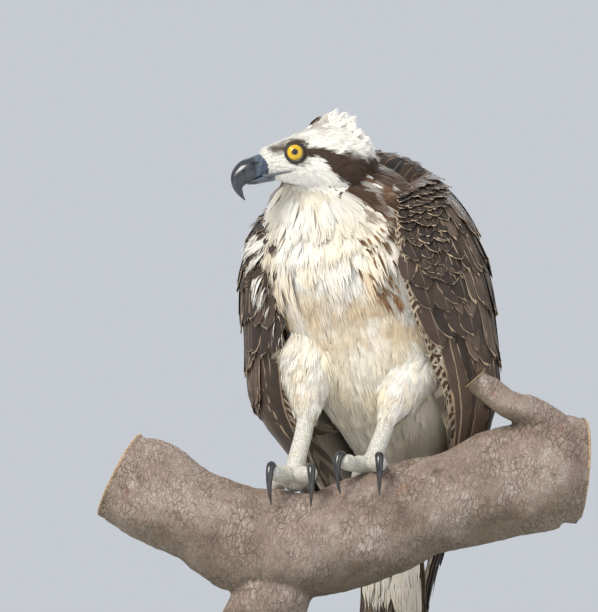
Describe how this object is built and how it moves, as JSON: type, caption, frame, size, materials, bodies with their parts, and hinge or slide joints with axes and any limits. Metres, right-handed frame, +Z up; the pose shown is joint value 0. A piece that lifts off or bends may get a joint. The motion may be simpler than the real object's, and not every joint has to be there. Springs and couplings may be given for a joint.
{
  "type": "osprey",
  "caption": "Life-size still osprey perched on a short cut branch with a fork, held up by a rod on a flat display base.",
  "frame": {"origin": "centre of the display base's underside, on the floor", "axes": "+Z up, the breast faces -Y, the bill points to -X, +X is towards the bird's left wing"},
  "size_m": [0.4139, 0.2665, 0.5302],
  "materials": {
    "plumage_white": "soft matte feathers",
    "plumage_brown": "matte feather vanes with pale fringes",
    "plumage_barred": "matte barred feather vanes",
    "horn": "glossy horn",
    "iris": "wet glossy eye",
    "leg_scales": "rough scaled skin",
    "bark": "rough crackled bark",
    "stand_paint": "satin paint"
  },
  "bodies": {
    "root": {"torso": "plumage_white", "neck": "plumage_white", "head": "plumage_white", "bill_upper": "horn", "bill_lower": "horn", "eye_left": "iris", "eye_right": "iris", "wing_left": "plumage_brown", "wing_right": "plumage_brown", "tail": "plumage_barred", "thigh_left": "plumage_white", "tarsus_left": "leg_scales", "foot_left": "leg_scales", "toe_left_inner": "leg_scales", "talon_left_inner": "horn", "toe_left_middle": "leg_scales", "talon_left_middle": "horn", "toe_left_outer": "leg_scales", "talon_left_outer": "horn", "toe_left_hind": "leg_scales", "talon_left_hind": "horn", "thigh_right": "plumage_white", "tarsus_right": "leg_scales", "foot_right": "leg_scales", "toe_right_inner": "leg_scales", "talon_right_inner": "horn", "toe_right_middle": "leg_scales", "talon_right_middle": "horn", "toe_right_outer": "leg_scales", "talon_right_outer": "horn", "toe_right_hind": "leg_scales", "talon_right_hind": "horn", "perch_branch": "bark", "stand_base": "stand_paint", "stand_rod": "stand_paint"}
  },
  "joints": []
}
